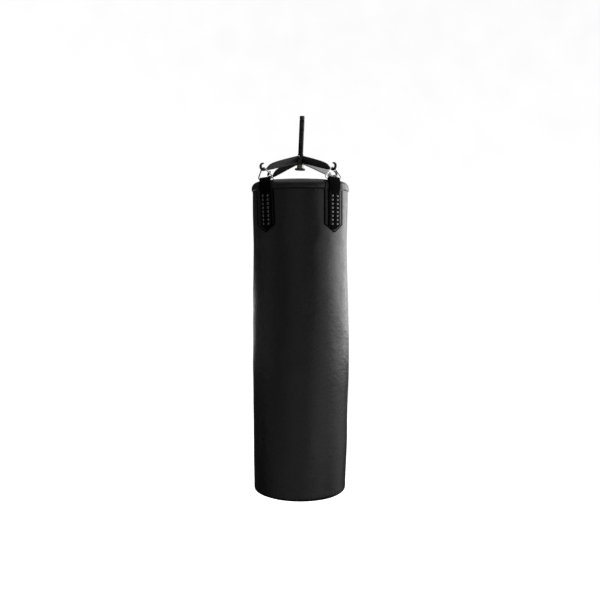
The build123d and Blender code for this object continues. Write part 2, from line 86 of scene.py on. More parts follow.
# The front patches do not lie quite under their straps: how far each is moved across.
PATCH_SHIFT = {"front_right": 3.0, "back_right": 0.0, "back_left": 0.0, "front_left": -9.0}
PIPING_RADIUS = 2.0
STRAP_HALF_WIDTH = 27.0
STRAP_SHOULDER = -166.0
STRAP_TIP = height_in_bag(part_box("strap_front_right")[0].z)
PLY = 2.1
PLY_GAP = 0.1
RIVET_RADIUS = 5.0
RIVET_ROWS = 8
RIVET_ACROSS = 12.5             # from the strap's centre line to each column

RING_WIRE = 2.4
RING_BAR_RADIUS = 179.0
RING_BAR_HEIGHT = height_in_bag(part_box("ring_front_right")[0].z) + RING_WIRE
RING_PLAY = 0.6
LOOP_RADIUS = RING_WIRE + RING_PLAY + PLY / 2

HUB_RADIUS = width_of("hub_tube") / 2
HOOK_CENTRE = (179.0, 47.2)
HOOK_RADIUS = 11.3
HOOK_BAR = 3.75
HOOK_SWELL = 1.3                # extra metal on the outside of the hook's bend
HOOK_START = 243.0              # degrees round the bend, measured from the side away from the hub
HOOK_THIN_START = 380.0         # where the bar starts to draw down
HOOK_END = 450.0
HOOK_TIP_THINNER = 0.9
HIGHLIT_ARM = "back_right"     # the arm whose paint is made lighter and glossier, as a painted highlight for the light it catches

LID_TOP = height_in_bag(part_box("lid_panel")[1].z)
LID_RADIUS = width_of("lid_panel") / 2
ZIP_RADIUS = 128.0
ZIP_START = 150.0
ZIP_SWEEP = 240.0
TOOTH_PITCH = 2.6

FLOOR_DROP = 450.0              # from the bag's base down to the stage
STAGE_REACH = 7000.0
STAGE_BEND = 2500.0
STAGE_WALL = 12000.0

CAMERA_TURN = 3.5               # degrees to the right of straight in front
CAMERA_DISTANCE = 2.9           # metres
CAMERA_DROP = 0.303             # metres below the bag's top
CAMERA_TIP = 2.746              # degrees down
CAMERA_YAW = 0.02               # degrees to the left of the bag's axis
CAMERA_LENS = 45.77
CAMERA_SENSOR = 36.0

RANDOM = random.Random(7)


# ---- mesh helpers ---------------------------------------------------------------------------------
def at(radius, angle, height):
    """Point from a radius and height in the bag's own millimetres and an angle in degrees."""
    turn = math.radians(angle)
    return (
        AXIS_X + MM * radius * math.cos(turn),
        AXIS_Y + MM * radius * math.sin(turn),
        TOP_Z + MM * height,
    )


def at_corner(angle, radius, across, height):
    """Point in a corner's own upright plane: outwards, across to the left, and up."""
    turn = math.radians(angle)
    return (
        AXIS_X + MM * (radius * math.cos(turn) - across * math.sin(turn)),
        AXIS_Y + MM * (radius * math.sin(turn) + across * math.cos(turn)),
        TOP_Z + MM * height,
    )


def outwards_at(angle):
    """Level direction away from the bag's axis."""
    turn = math.radians(angle)
    return Vector((math.cos(turn), math.sin(turn), 0))


def grid_faces(rows, columns, close_rows=False, close_columns=False):
    faces = []
    for row in range(rows if close_rows else rows - 1):
        for column in range(columns if close_columns else columns - 1):
            next_row = (row + 1) % rows
            next_column = (column + 1) % columns
            faces.append((
                row * columns + column,
                row * columns + next_column,
                next_row * columns + next_column,
                next_row * columns + column,
            ))
    return faces


def make_object(name, points, faces):
    mesh = bpy.data.meshes.new(name)
    mesh.from_pydata([tuple(point) for point in points], [], faces)
    mesh.validate()
    made = bpy.data.objects.new(name, mesh)
    bpy.context.scene.collection.objects.link(made)
    mesh.shade_smooth()
    return made


def face_outwards(piece):
    work = bmesh.new()
    work.from_mesh(piece.data)
    bmesh.ops.recalc_face_normals(work, faces=work.faces)
    work.to_mesh(piece.data)
    work.free()


def apply_modifiers(piece):
    """Freeze a piece's modifiers into its mesh."""
    bpy.context.view_layer.update()
    graph = bpy.context.evaluated_depsgraph_get()
    frozen = bpy.data.meshes.new_from_object(piece.evaluated_get(graph))
    piece.modifiers.clear()
    piece.data = frozen
    piece.data.shade_smooth()


def thicken(piece, thickness, offset, bevel=0.0):
    """Give a skin its thickness, with softened edges."""
    solid = piece.modifiers.new("thickness", "SOLIDIFY")
    solid.thickness = MM * thickness
    solid.offset = offset
    solid.use_even_offset = True
    if bevel:
        edge = piece.modifiers.new("edge", "BEVEL")
        edge.width = MM * bevel
        edge.segments = 2
        edge.limit_method = "ANGLE"
        edge.angle_limit = math.radians(50)
    apply_modifiers(piece)


def finish_piece(piece, body, slot, material, *replaced):
    piece.data.materials.clear()
    piece.data.materials.append(material)
    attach(piece, body)
    if replaced:
        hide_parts(*replaced)


def add_tube(points, faces, path, radii, sides=10, closed=False):
    """Append a tube along a path to a list of points and faces."""
    path = [Vector(point) for point in path]
    count = len(path)
    base = len(points)
    side = None
    for i, centre in enumerate(path):
        before = path[(i - 1) % count] if closed or i else centre
        after = path[(i + 1) % count] if closed or i + 1 < count else centre
        along = (after - before).normalized()
        if side is None:
            side = along.orthogonal().normalized()
        side = (side - along * side.dot(along)).normalized()
        up = along.cross(side)
        radius = MM * (radii[i] if hasattr(radii, "__len__") else radii)
        for k in range(sides):
            turn = 2 * math.pi * k / sides
            points.append(centre + radius * (math.cos(turn) * side + math.sin(turn) * up))
    faces += [
        tuple(base + index for index in face)
        for face in grid_faces(count, sides, closed, True)
    ]
    if not closed:
        faces.append(tuple(base + k for k in reversed(range(sides))))
        faces.append(tuple(base + (count - 1) * sides + k for k in range(sides)))


def add_stitch(points, faces, start, end, lift, radius=0.45):
    """Append one stitch: a short thread that dives into the leather at both ends."""
    start = Vector(start)
    end = Vector(end)
    lift = Vector(lift)
    steps = 5
    path = []
    for i in range(steps):
        share = i / (steps - 1)
        rise = math.sin(math.pi * share)
        path.append(start.lerp(end, share) + lift * MM * (0.55 * rise - 0.25))
    add_tube(points, faces, path, radius, sides=6)


def smooth_steps(values, count):
    """Resample a list of number tuples along a Catmull-Rom curve."""
    values = [np.array(value, float) for value in values]
    padded = [2 * values[0] - values[1], *values, 2 * values[-1] - values[-2]]
    result = []
    for i in range(1, len(padded) - 2):
        for k in range(count):
            t = k / count
            a, b, c, d = padded[i - 1:i + 3]
            result.append(0.5 * (2 * b + (c - a) * t + (2 * a - 5 * b + 4 * c - d) * t**2
                                 + (3 * b - a - 3 * c + d) * t**3))
    result.append(values[-1])
    return result


def ripple(angle, height, scale, seed):
    """Smooth noise over the bag's side that joins up all the way round."""
    turn = math.radians(angle)
    place = Vector((math.cos(turn) * WALL_RADIUS, math.sin(turn) * WALL_RADIUS, height))
    return noise.noise(place / scale + Vector((seed, 2 * seed, 3 * seed)))


# ---- materials ------------------------------------------------------------------------------------
class Nodes:
    """A small wrapper that keeps node trees short to write."""

    def __init__(self, name):
        self.material = bpy.data.materials.new(name)
        self.material.use_nodes = True
        self.tree = self.material.node_tree
        self.shader = self.tree.nodes["Principled BSDF"]
        self.place = self.add("ShaderNodeTexCoord").outputs["Object"]

    def add(self, kind, **settings):
        node = self.tree.nodes.new(kind)
        for name, value in settings.items():
            setattr(node, name, value)
        return node

    def link(self, source, target):
        self.tree.links.new(source, target)

    def stretched(self, scale, turn=(0, 0, 0)):
        mapping = self.add("ShaderNodeMapping")
        mapping.inputs["Scale"].default_value = scale
        mapping.inputs["Rotation"].default_value = [math.radians(angle) for angle in turn]
        self.link(self.place, mapping.inputs["Vector"])
        return mapping.outputs["Vector"]

    def noise(self, scale, detail=3.0, roughness=0.5, vector=None):
        node = self.add("ShaderNodeTexNoise")
        node.inputs["Scale"].default_value = scale
        node.inputs["Detail"].default_value = detail
        node.inputs["Roughness"].default_value = roughness
        self.link(vector or self.place, node.inputs["Vector"])
        return node.outputs["Fac"]

    def cells(self, scale, feature="F1"):
        node = self.add("ShaderNodeTexVoronoi", feature=feature)
        node.inputs["Scale"].default_value = scale
        self.link(self.place, node.inputs["Vector"])
        return node.outputs["Distance"]

    def ramp(self, value, stops):
        node = self.add("ShaderNodeValToRGB")
        elements = node.color_ramp.elements
        while len(elements) < len(stops):
            elements.new(0.5)
        for element, (position, colour) in zip(elements, stops):
            element.position = position
            element.color = (*colour, 1) if hasattr(colour, "__len__") else (*[colour] * 3, 1)
        self.link(value, node.inputs["Fac"])
        return node.outputs["Color"]

    def flat_colour(self, colour):
        node = self.add("ShaderNodeRGB")
        node.outputs[0].default_value = (*colour, 1)
        return node.outputs[0]

    def maths(self, operation, first, second):
        node = self.add("ShaderNodeMath", operation=operation)
        for socket, value in zip(node.inputs, (first, second)):
            if isinstance(value, (int, float)):
                socket.default_value = value
            else:
                self.link(value, socket)
        return node.outputs["Value"]

    def blend(self, share, first, second):
        node = self.add("ShaderNodeMix", data_type="RGBA")
        self.link(share, node.inputs["Factor"])
        self.link(first, node.inputs[6])
        self.link(second, node.inputs[7])
        return node.outputs[2]

    def bump(self, height, distance, strength, before=None):
        node = self.add("ShaderNodeBump")
        node.inputs["Strength"].default_value = strength
        node.inputs["Distance"].default_value = distance
        self.link(height, node.inputs["Height"])
        if before is not None:
            self.link(before, node.inputs["Normal"])
        return node.outputs["Normal"]

    def put(self, socket, value):
        target = self.shader.inputs[socket]
        if hasattr(value, "is_linked"):
            self.link(value, target)
        else:
            target.default_value = value


def edge_mask(nodes, low, high):
    """White along convex edges, broken up by noise."""
    pointed = nodes.add("ShaderNodeNewGeometry").outputs["Pointiness"]
    edges = nodes.ramp(pointed, [(low, 0.0), (high, 1.0)])
    patches = nodes.ramp(nodes.noise(90, 6, 0.65), [(0.42, 0.0), (0.62, 1.0)])
    return nodes.maths("MULTIPLY", edges, patches)


def leather(name, dark, light, roughness, grain_size, grain_depth, specular, scuffs):
    """Grained leather: cells of grain, pores, slow creases and scuffed patches."""
    nodes = Nodes(name)
    wander = nodes.noise(160, 2)
    grain = nodes.cells(1 / grain_size, "SMOOTH_F1")
    fine = nodes.cells(2.3 / grain_size, "DISTANCE_TO_EDGE")
    pores = nodes.noise(1.6 / grain_size, 4, 0.6)
    tone = nodes.noise(9, 5, 0.55)
    colour = nodes.ramp(tone, [(0.3, dark), (0.72, light)])
    streaks = nodes.noise(26, 7, 0.72, nodes.stretched((1.0, 1.0, 0.16), (18, 24, 0)))
    worn = nodes.ramp(streaks, [(0.52, 0.0), (0.72, 1.0)])
    rubbed = nodes.flat_colour([2.2 * channel + 0.004 for channel in light])
    nodes.put("Base Color", nodes.blend(nodes.maths("MULTIPLY", worn, scuffs), colour, rubbed))
    base = nodes.maths("MULTIPLY", nodes.noise(34, 5, 0.6), 0.16)
    base = nodes.maths("ADD", base, roughness - 0.08)
    rough = nodes.maths("ADD", base, nodes.maths("MULTIPLY", wander, 0.05))
    nodes.put("Roughness", nodes.maths("ADD", rough, nodes.maths("MULTIPLY", worn, 0.5 * scuffs)))
    nodes.put("Specular IOR Level", specular)
    creases = nodes.noise(50, 6, 0.62, nodes.stretched((0.5, 0.5, 1.3), (0, 34, 0)))
    normal = nodes.bump(creases, 0.0028, 0.5)
    normal = nodes.bump(grain, grain_depth, 0.8, normal)
    normal = nodes.bump(fine, 0.4 * grain_depth, 0.55, normal)
    normal = nodes.bump(pores, 0.35 * grain_depth, 0.5, normal)
    nodes.put("Normal", normal)
    return nodes.material


def painted_steel(name, colour, wear_colour, roughness, specular):
    """Satin paint with a faint orange peel, dust and bare metal along the edges."""
    nodes = Nodes(name)
    shades = [(0.3, [0.75 * c for c in colour]), (0.75, [1.5 * c for c in colour])]
    tone = nodes.ramp(nodes.noise(30, 5, 0.6), shades)
    wear = edge_mask(nodes, 0.53, 0.6)
    nodes.put("Base Color", nodes.blend(wear, tone, nodes.flat_colour(wear_colour)))
    nodes.put("Metallic", nodes.maths("MULTIPLY", wear, 0.9))
    uneven = nodes.maths("MULTIPLY", nodes.noise(75, 5, 0.65), 0.25)
    nodes.put("Roughness", nodes.maths("ADD", uneven, roughness - 0.1))
    nodes.put("Specular IOR Level", specular)
    normal = nodes.bump(nodes.noise(900, 2), 0.0001, 0.4)
    nodes.put("Normal", nodes.bump(nodes.noise(120, 4), 0.0004, 0.3, normal))
    return nodes.material


def bright_metal(name, colour, roughness, scratch=0.5):
    """Plated or ground metal with fine scratches and faint stains."""
    nodes = Nodes(name)
    stains = nodes.noise(60, 6, 0.65)
    nodes.put("Base Color", nodes.ramp(stains, [(0.25, [0.62 * c for c in colour]), (0.6, colour)]))
    nodes.put("Metallic", 1.0)
    lines = nodes.noise(700, 3, 0.6, nodes.stretched((1.0, 0.22, 1.0), (0, 0, 30)))
    uneven = nodes.maths("ADD", nodes.maths("MULTIPLY", stains, 0.16), roughness - 0.06)
    nodes.put("Roughness", nodes.maths("ADD", uneven, nodes.maths("MULTIPLY", lines, 0.08)))
    nodes.put("Normal", nodes.bump(lines, 0.00008, scratch))
    return nodes.material


def woven(name, dark, light, pitch):
    """Plain weave from two crossed waves, with fuzz."""
    nodes = Nodes(name)
    threads = []
    for direction in ("X", "Y"):
        wave = nodes.add("ShaderNodeTexWave", bands_direction=direction)
        wave.inputs["Scale"].default_value = 0.31 / pitch
        wave.inputs["Distortion"].default_value = 0.6
        nodes.link(nodes.place, wave.inputs["Vector"])
        threads.append(wave.outputs["Fac"])
    weave = nodes.maths("MULTIPLY", *threads)
    nodes.put("Base Color", nodes.ramp(weave, [(0.1, dark), (0.8, light)]))
    nodes.put("Roughness", nodes.ramp(nodes.noise(200, 4), [(0.2, 0.8), (0.8, 0.9)]))
    nodes.put("Sheen Weight", 0.2)
    normal = nodes.bump(weave, 0.4 * pitch, 0.7)
    nodes.put("Normal", nodes.bump(nodes.noise(1500, 3), 0.0001, 0.4, normal))
    return nodes.material


def cellular(name, dark, light, cell):
    """Open foam or packed shreds."""
    nodes = Nodes(name)
    pits = nodes.cells(1 / cell)
    nodes.put("Base Color", nodes.ramp(pits, [(0.1, dark), (0.7, light)]))
    nodes.put("Roughness", nodes.ramp(nodes.noise(90, 5), [(0.2, 0.8), (0.8, 0.97)]))
    nodes.put("Normal", nodes.bump(pits, 0.5 * cell, 0.8))
    return nodes.material


def smooth_plastic(name, colour, roughness):
    nodes = Nodes(name)
    tone = nodes.ramp(nodes.noise(150, 4), [(0.3, [0.85 * c for c in colour]), (0.8, colour)])
    nodes.put("Base Color", tone)
    uneven = nodes.maths("MULTIPLY", nodes.noise(220, 3), 0.2)
    nodes.put("Roughness", nodes.maths("ADD", uneven, roughness - 0.1))
    nodes.put("Normal", nodes.bump(nodes.noise(800, 3), 0.00006, 0.4))
    return nodes.material


def thread(name, colour):
    """Waxed sewing thread."""
    nodes = Nodes(name)
    twist = nodes.noise(2600, 3)
    nodes.put("Base Color", nodes.ramp(twist, [(0.3, [0.6 * c for c in colour]), (0.7, colour)]))
    nodes.put("Roughness", nodes.ramp(twist, [(0.2, 0.45), (0.8, 0.7)]))
    nodes.put("Normal", nodes.bump(twist, 0.0002, 0.6))
    return nodes.material


BAG_LEATHER = leather(
    "bag_leather", (0.0065, 0.0065, 0.007), (0.011, 0.011, 0.0115),
    roughness=0.34, grain_size=0.0021, grain_depth=0.00022, specular=0.5, scuffs=0.35,
)
TRIM_LEATHER = leather(
    "trim_leather", (0.002, 0.002, 0.0021), (0.004, 0.004, 0.0042),
    roughness=0.42, grain_size=0.0017, grain_depth=0.00018, specular=0.3, scuffs=0.1,
)
STRAP_LEATHER = leather(
    "strap_leather", (0.0012, 0.0012, 0.0012), (0.003, 0.003, 0.003),
    roughness=0.75, grain_size=0.0013, grain_depth=0.00012, specular=0.03, scuffs=0.1,
)
ROD_PAINT = painted_steel("rod_paint", (0.007, 0.007, 0.0075), (0.2, 0.2, 0.2), 0.5, 0.14)
SPREADER_PAINT = painted_steel("spreader_paint", (0.01, 0.01, 0.0105), (0.2, 0.195, 0.19), 0.44, 0.35)
# painted highlight: a lighter, glossier copy of the spreader paint for the one arm whose face catches the
# light
HIGHLIT_ARM_PAINT = painted_steel("highlit_arm_paint", (0.04, 0.04, 0.04), (0.25, 0.245, 0.24), 0.25, 1.0)
BEARING_STEEL = bright_metal("bearing_steel", (0.36, 0.36, 0.36), 0.24)
BEARING_BRASS = bright_metal("bearing_brass", (0.48, 0.36, 0.18), 0.3)
RING_CHROME = bright_metal("ring_chrome", (0.7, 0.7, 0.71), 0.18, 0.35)
RIVET_CHROME = bright_metal("rivet_chrome", (0.15, 0.15, 0.155), 0.1, 0.4)
ZIP_METAL = bright_metal("zip_metal", (0.28, 0.28, 0.29), 0.3)
ZIP_FABRIC = woven("zip_fabric", (0.004, 0.004, 0.004), (0.02, 0.02, 0.02), 0.0007)
LINER_PLASTIC = smooth_plastic("liner_plastic", (0.7, 0.69, 0.64), 0.45)
FOAM = cellular("foam", (0.2, 0.2, 0.19), (0.5, 0.49, 0.46), 0.0025)
FILLING = cellular("filling", (0.12, 0.11, 0.1), (0.45, 0.42, 0.38), 0.012)
THREAD = thread("thread", (0.012, 0.012, 0.013))


# ---- where the straps lie ---------------------------------------------------------------------------
def middle_at_bottom(node, angle):
    """How far across from its corner the lowest points of a node lie."""
    turn = math.radians(angle)
    places = [vertex.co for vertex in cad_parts[node].data.vertices]
    lowest = min(place.z for place in places)
    across = [
        ((place.y - AXIS_Y) * math.cos(turn) - (place.x - AXIS_X) * math.sin(turn)) / MM
        for place in places
        if place.z < lowest + 0.1 * MM
    ]
    return (min(across) + max(across)) / 2


RING_SHIFT = {corner: middle_at_bottom(f"ring_{corner}", angle) for corner, angle in CORNERS.items()}
TIP_SHIFT = {corner: middle_at_bottom(f"strap_{corner}", angle) for corner, angle in CORNERS.items()}


def strap_centre(corner, height):
    """How far a strap's centre line lies across from its hook at a height."""
    share = (RING_BAR_HEIGHT - height) / (RING_BAR_HEIGHT - STRAP_TIP)
    return RING_SHIFT[corner] + share * (TIP_SHIFT[corner] - RING_SHIFT[corner])


# ---- the bag's side ---------------------------------------------------------------------------------
# The filling has settled: radius of the wall, and how far its middle leans to the right, by height.
SETTLED = (
    (-1200.0, 174.0, -3.0),
    (-1155.0, 174.6, -2.2),
    (-1030.0, 178.2, -0.2),
    (-860.0, 179.6, 1.4),
    (-700.0, 183.2, 2.2),
    (-590.0, 182.2, 2.8),
    (-430.0, 180.6, 1.4),
    (-300.0, 177.4, -0.4),
    (-215.0, 176.8, -0.8),
    (-120.0, 179.0, 0.0),
    (-35.0, 180.0, 0.0),
    (0.0, 180.0, 0.0),
)
SETTLED_CURVE = np.array(smooth_steps(SETTLED, 12))


def wall_radius(height):
    return float(np.interp(height, SETTLED_CURVE[:, 0], SETTLED_CURVE[:, 1]))


def settle_shift(height):
    return float(np.interp(height, SETTLED_CURVE[:, 0], SETTLED_CURVE[:, 2]))


def ease(share):
    """Smooth step from 0 to 1."""
    share = min(1.0, max(0.0, share))
    return share * share * (3 - 2 * share)


def from_patch(angle, height):
    """Degrees from the nearest patch's centre line."""
    nearest = 180.0
    for corner, turn in CORNERS.items():
        centre = turn + math.degrees(strap_centre(corner, height) / WALL_RADIUS)
        nearest = min(nearest, abs((angle - centre + 180) % 360 - 180))
    return nearest


def soft_weight(angle, height):
    """0 behind the patches, where the wall stays round, rising to 1 below and between them."""
    below = ease((PATCH_TIP - 8 - height) / 60)
    beside = ease((from_patch(angle, height) - 17) / 14) * ease((-HEM_DEPTH - height) / 30)
    return max(below, beside)


def wall_point(angle, height, radius):
    """Point on the settled wall."""
    weight = soft_weight(angle, height)
    lumps = 1.3 * ripple(angle, height, 150, 3.1) + 0.7 * ripple(angle, height, 62, 7.7)
    folds = 0.4 * ripple(angle, 0.35 * height, 24, 1.3)
    settled = WALL_RADIUS + weight * (radius - WALL_RADIUS + lumps + folds)
    x, y, z = at(settled, angle, height)
    return (x + MM * weight * settle_shift(height), y, z)


def swell(piece, pinned, cap, frames=20):
    """Let the leather tighten over its filling as cloth, and keep each point near where it began."""
    before = np.array([vertex.co for vertex in piece.data.vertices])
    group = piece.vertex_groups.new(name="pinned")
    for index, weight in enumerate(pinned):
        group.add([index], weight, "REPLACE")
    cloth = piece.modifiers.new("cloth", "CLOTH")
    settings = cloth.settings
    settings.quality = 6
    settings.mass = 0.6
    settings.tension_stiffness = 60
    settings.compression_stiffness = 60
    settings.shear_stiffness = 20
    settings.bending_stiffness = 8
    settings.use_pressure = True
    settings.uniform_pressure_force = 4
    settings.vertex_group_mass = "pinned"
    settings.effector_weights.gravity = 0
    cloth.point_cache.frame_end = frames
    for step in range(1, frames + 1):
        bpy.context.scene.frame_set(step)
    apply_modifiers(piece)
    bpy.context.scene.frame_set(1)
    after = np.array([vertex.co for vertex in piece.data.vertices])
    move = after - before
    length = np.linalg.norm(move, axis=1, keepdims=True)
    limit = MM * cap
    move *= limit * np.tanh(length / limit) / np.maximum(length, 1e-9)
    piece.data.vertices.foreach_set("co", (before + move).ravel())
    piece.data.update()


def make_wall():
    """Bag side from the hem's seam to the base seam."""
    columns = 96
    rows = 92
    straight_bottom = BAG_BOTTOM + LEATHER + BASE_CORNER
    heights = list(np.linspace(-HEM_DEPTH + 0.5, straight_bottom, rows))
    radii = [wall_radius(height) for height in heights]
    foot = radii[-1] - BASE_CORNER
    for turn in np.linspace(0, 90, 6)[1:]:
        heights.append(straight_bottom - BASE_CORNER * math.sin(math.radians(turn)))
        radii.append(foot + BASE_CORNER * math.cos(math.radians(turn)))
    points = []
    pinned = []
    for row, (height, radius) in enumerate(zip(heights, radii)):
        for column in range(columns):
            angle = 360 * column / columns
            points.append(wall_point(angle, height, radius))
            pinned.append(1.0 - 0.96 * soft_weight(angle, height) * (row < rows - 2))
    wall = make_object("bag_wall", points, grid_faces(len(heights), columns, False, True))
    face_outwards(wall)
    swell(wall, pinned, 2.5)
    smooth = wall.modifiers.new("smooth", "SUBSURF")
    smooth.levels = 2
    smooth.render_levels = 2
    apply_modifiers(wall)
    crease_wall(wall)
    thicken(wall, LEATHER, -1.0)
    finish_piece(wall, "bag", "bag_leather", BAG_LEATHER, "bag_shell")


def crease_wall(wall):
    """Pucker the leather at the hem's seam and at the base seam, and mark the back seam."""
    for vertex in wall.data.vertices:
        x = vertex.co.x - AXIS_X
        y = vertex.co.y - AXIS_Y
        height = height_in_bag(vertex.co.z)
        angle = math.degrees(math.atan2(y, x))
        near_top = math.exp(-((height + HEM_DEPTH) / 9) ** 2)
        near_base = math.exp(-((height - BAG_BOTTOM - 14) / 16) ** 2)
        pucker = math.sin(math.radians(angle) * PUCKERS) + 0.8 * ripple(angle, height, 11, 5.0)
        depth = -0.3 * near_top - 0.25 * near_top * pucker + 0.45 * near_base * pucker
        from_back = abs(angle - 90) * math.radians(1) * WALL_RADIUS
        depth -= 1.2 * math.exp(-((from_back / 1.6) ** 2))
        outwards = Vector((x, y, 0)).normalized()
        vertex.co += outwards * MM * depth
    wall.data.update()


# ---- hem, lid and base ------------------------------------------------------------------------------
def roll_point(distance, angle):
    turn = math.radians(angle)
    return (ROLL_CENTRE + distance * math.cos(turn), -HEM_ROLL + distance * math.sin(turn))


def make_hem():
    """Padded roll round the rim, drawn in at its seam and puckered along it."""
    columns = 360
    arc_steps = 22
    inner = ROLL_CENTRE - 4
    profile = [roll_point(HEM_ROLL, angle) for angle in np.linspace(90, CREASE_ANGLE, arc_steps)]
    profile += [(WALL_RADIUS + 0.6, -HEM_DEPTH + 0.6), (WALL_RADIUS - 1.5, -HEM_DEPTH - 0.2)]
    profile += [(inner + 12, -HEM_DEPTH), (inner + 4, -HEM_DEPTH), (inner + 1, -HEM_DEPTH + 2)]
    profile += [(inner, -HEM_DEPTH + 8), (inner, -14.0), (inner, -8.0), (inner + 1.2, -3.0)]
    points = []
    for k, (radius, height) in enumerate(profile):
        outside = min(1.0, k / arc_steps) if k < arc_steps + 2 else 0.0
        for column in range(columns):
            angle = 360 * column / columns
            pucker = math.sin(math.radians(angle) * PUCKERS) + 1.4 * ripple(angle, height, 9, 2.0)
            sag = 0.55 * ripple(angle, height, 45, 8.0)
            depth = 0.34 * outside**3 * pucker + (sag if k < arc_steps else 0.0)
            points.append(at(radius + depth, angle, height + 0.3 * sag))
    hem = make_object("hem_roll", points, grid_faces(len(profile), columns, True, True))
    face_outwards(hem)
    finish_piece(hem, "bag", "bag_leather", BAG_LEATHER, "top_hem")


def stitch_ring(points, faces, radius, height, outward, up):
    """Stitches all round the bag at one height."""
    count = int(math.radians(360) * radius / SEAM_STITCH)
    for i in range(count):
        angle = 360 * i / count
        next_angle = angle + 0.72 * 360 / count
        lift = outward * outwards_at(angle) + Vector((0, 0, up))
        add_stitch(points, faces, at(radius, angle, height), at(radius, next_angle, height), lift)


def make_bag_stitches():
    points = []
    faces = []
    stitch_ring(points, faces, HEM_RADIUS - 1.2, -HEM_DEPTH + 5.5, outward=1, up=0)
    stitch_ring(points, faces, ROLL_CENTRE - 12, LID_TOP + 0.3, outward=0, up=1)
    stitches = make_object("seam_stitches", points, faces)
    finish_piece(stitches, "bag", "trim_leather", THREAD)


def make_disc(name, radius, height, thickness, dome, replaced):
    """Round leather panel that domes a little, with a soft edge."""
    columns = 128
    shares = [0.0005, 0.08, 0.2, 0.35, 0.5, 0.65, 0.78, 0.88, 0.95, 0.985, 1.0]
    points = []
    for share in shares:
        for column in range(columns):
            angle = 360 * column / columns
            sag = 0.8 * ripple(angle, 40 * share, 60, 4.4) * share * (1 - share) * 4
            rise = dome * (1 - share**2) + sag
            points.append(at(radius * share, angle, height + rise))
    disc = make_object(name, points, grid_faces(len(shares), columns, False, True))
    thicken(disc, thickness, 0.0, 0.6)
    face_outwards(disc)
    finish_piece(disc, "bag", "bag_leather", BAG_LEATHER, replaced)


def make_base_welt():
    """Piped seam between the wall and the base."""
    low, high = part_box("base_welt")
    radius = width_of("base_welt") / 2 - WELT_RADIUS
    height = height_in_bag((low.z + high.z) / 2)
    points = []
    faces = []
    count = 260
    path = [at(radius, 360 * i / count, height) for i in range(count)]
    radii = [WELT_RADIUS + 0.14 * math.sin(i * 1.7) + 0.1 * math.sin(i * 0.61) for i in range(count)]
    add_tube(points, faces, path, radii, 12, closed=True)
    welt = make_object("base_piping", points, faces)
    finish_piece(welt, "bag", "trim_leather", TRIM_LEATHER, "base_welt")


def make_zip_teeth():
    """Two rows of interlocking metal teeth on the lid's tape."""
    low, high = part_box("zip_chain")
    bottom = height_in_bag(low.z)
    height = height_in_bag(high.z) - bottom
    outline = [(-0.8, 0.55), (1.2, 1.0), (2.9, 1.0), (2.9, -1.0), (1.2, -1.0), (-0.8, -0.55)]
    middle = 1.2
    sides = len(outline)
    half_turn = math.degrees(0.42 * TOOTH_PITCH / ZIP_RADIUS)
    count = int(math.radians(ZIP_SWEEP) * ZIP_RADIUS / TOOTH_PITCH)
    points = []
    faces = []
    for i in range(count):
        base = len(points)
        side = 1 if i % 2 else -1
        angle = ZIP_START + ZIP_SWEEP * (i + 0.5) / count
        for level, shrink in ((0.0, 1.0), (0.7, 1.0), (1.0, 0.72)):
            for across, along in outline:
                radius = ZIP_RADIUS + side * (middle + (across - middle) * shrink)
                points.append(at(radius, angle + along * shrink * half_turn, bottom + level * height))
        faces += [tuple(base + index for index in face) for face in grid_faces(3, sides, False, True)]
        faces.append(tuple(base + k for k in reversed(range(sides))))
        faces.append(tuple(base + 2 * sides + k for k in range(sides)))
    teeth = make_object("zip_teeth", points, faces)
    teeth.data.shade_flat()
    face_outwards(teeth)
    finish_piece(teeth, "bag", "zip_metal", ZIP_METAL, "zip_chain")


# ---- patches and straps -----------------------------------------------------------------------------
def skin_path(lift, top_angle, bottom, step):
    """Points (radius, height) down the hem roll and the wall, lift above their surface."""
    roll = HEM_ROLL + lift
    arc = math.radians(top_angle - CREASE_ANGLE) * roll
    angles = np.linspace(top_angle, CREASE_ANGLE, max(3, int(arc / step)))
    path = [roll_point(roll, angle) for angle in angles]
    wall = WALL_RADIUS + lift
    crease = -HEM_DEPTH - 3.0 - 0.4 * lift
    path.append((wall + 0.9, crease + 1.5))
    count = max(3, int((crease - bottom) / step))
    path += [(wall, height) for height in np.linspace(crease - 1.5, bottom, count)]
    return path


def half_width_at(height, half_width, shoulder, tip):
    """Half the width of a strip that ends in a point."""
    if height >= shoulder:
        return half_width
    return max(0.4, half_width * (height - tip) / (shoulder - tip))


def patch_outline(inset, step):
    """Across and height of points round a patch's free edge, from its top left round the tip."""
    half = PATCH_HALF_WIDTH - inset
    tip = PATCH_TIP + inset * math.sqrt(2)
    shoulder = PATCH_SHOULDER + inset * (math.sqrt(2) - 1)
    top = -HEM_DEPTH - 4
    corners = [(-half, top), (-half, shoulder), (0, tip), (half, shoulder), (half, top)]
    outline = []
    for (u0, h0), (u1, h1) in zip(corners, corners[1:]):
        count = max(1, round(math.hypot(u1 - u0, h1 - h0) / step))
        outline += [(u0 + (u1 - u0) * i / count, h0 + (h1 - h0) * i / count) for i in range(count)]
    outline.append(corners[-1])
    return outline


def on_strap_line(corner, angle, radius, across, height, curve=1.0):
    """Point across from a corner's own centre line, curved round the bag by curve."""
    across += strap_centre(corner, height)
    turn = across / radius
    outwards = curve * radius * math.cos(turn) + (1 - curve) * radius
    sideways = curve * radius * math.sin(turn) + (1 - curve) * across
    return at_corner(angle, outwards, sideways, height)


def on_patch(corner, angle, radius, across, height):
    return on_strap_line(corner, angle, radius, across + PATCH_SHIFT[corner], height)


